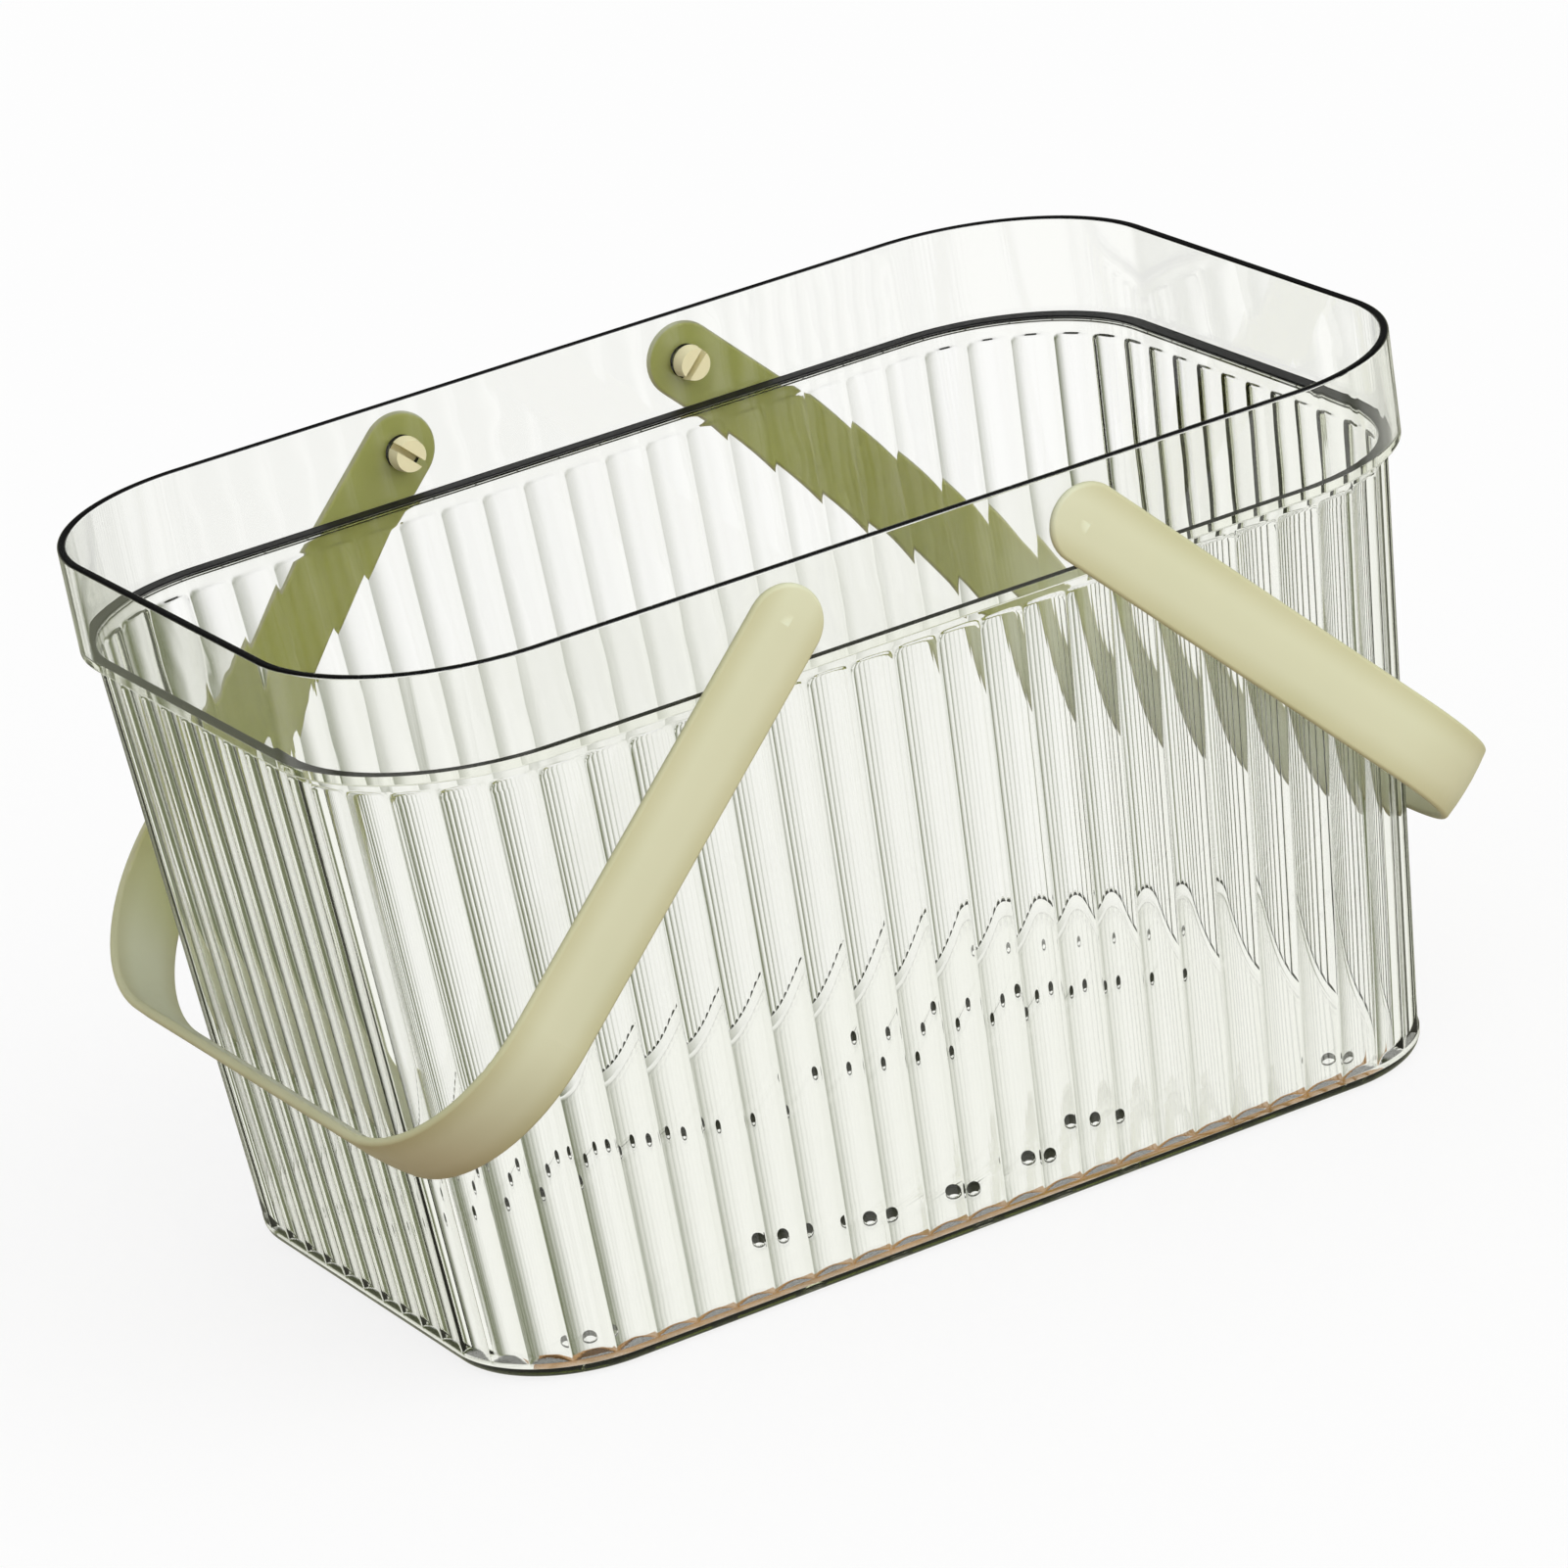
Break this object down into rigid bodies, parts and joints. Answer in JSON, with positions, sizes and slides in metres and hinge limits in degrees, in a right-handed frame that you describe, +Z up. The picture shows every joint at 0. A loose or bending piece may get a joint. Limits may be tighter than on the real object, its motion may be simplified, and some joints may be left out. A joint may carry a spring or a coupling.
{
  "type": "shower caddy",
  "caption": "Clear fluted plastic basket with rounded corners, a drained floor and U-shaped strap handles that fold down round its ends, for carrying and draining bath things.",
  "frame": {"origin": "centre of the bounding box, at the bottom of the basket where it rests", "axes": "+X along the basket from the left handle to the right handle, +Y from front to rear, +Z up"},
  "size_m": [0.2772, 0.186, 0.166],
  "materials": {
    "clear_plastic": "clear, polished, faint green-grey tint",
    "handle_plastic": "satin sage beige",
    "peg_plastic": "satin cream"
  },
  "bodies": {
    "basket": {"basket_body": "clear_plastic"},
    "left_handle_frame": {"left_handle": "handle_plastic", "peg_front_left": "peg_plastic", "peg_rear_left": "peg_plastic"},
    "right_handle_frame": {"right_handle": "handle_plastic", "peg_front_right": "peg_plastic", "peg_rear_right": "peg_plastic"}
  },
  "joints": [
    {"name": "left_handle_hinge", "type": "hinge", "parent": "basket", "child": "left_handle_frame", "pos_m": [-0.0366, 0, 0.1537], "axis": [0, 1, 0], "range_deg": [0, 145]},
    {"name": "right_handle_hinge", "type": "hinge", "parent": "basket", "child": "right_handle_frame", "pos_m": [0.0366, 0, 0.1537], "axis": [0, -1, 0], "range_deg": [0, 145]}
  ]
}
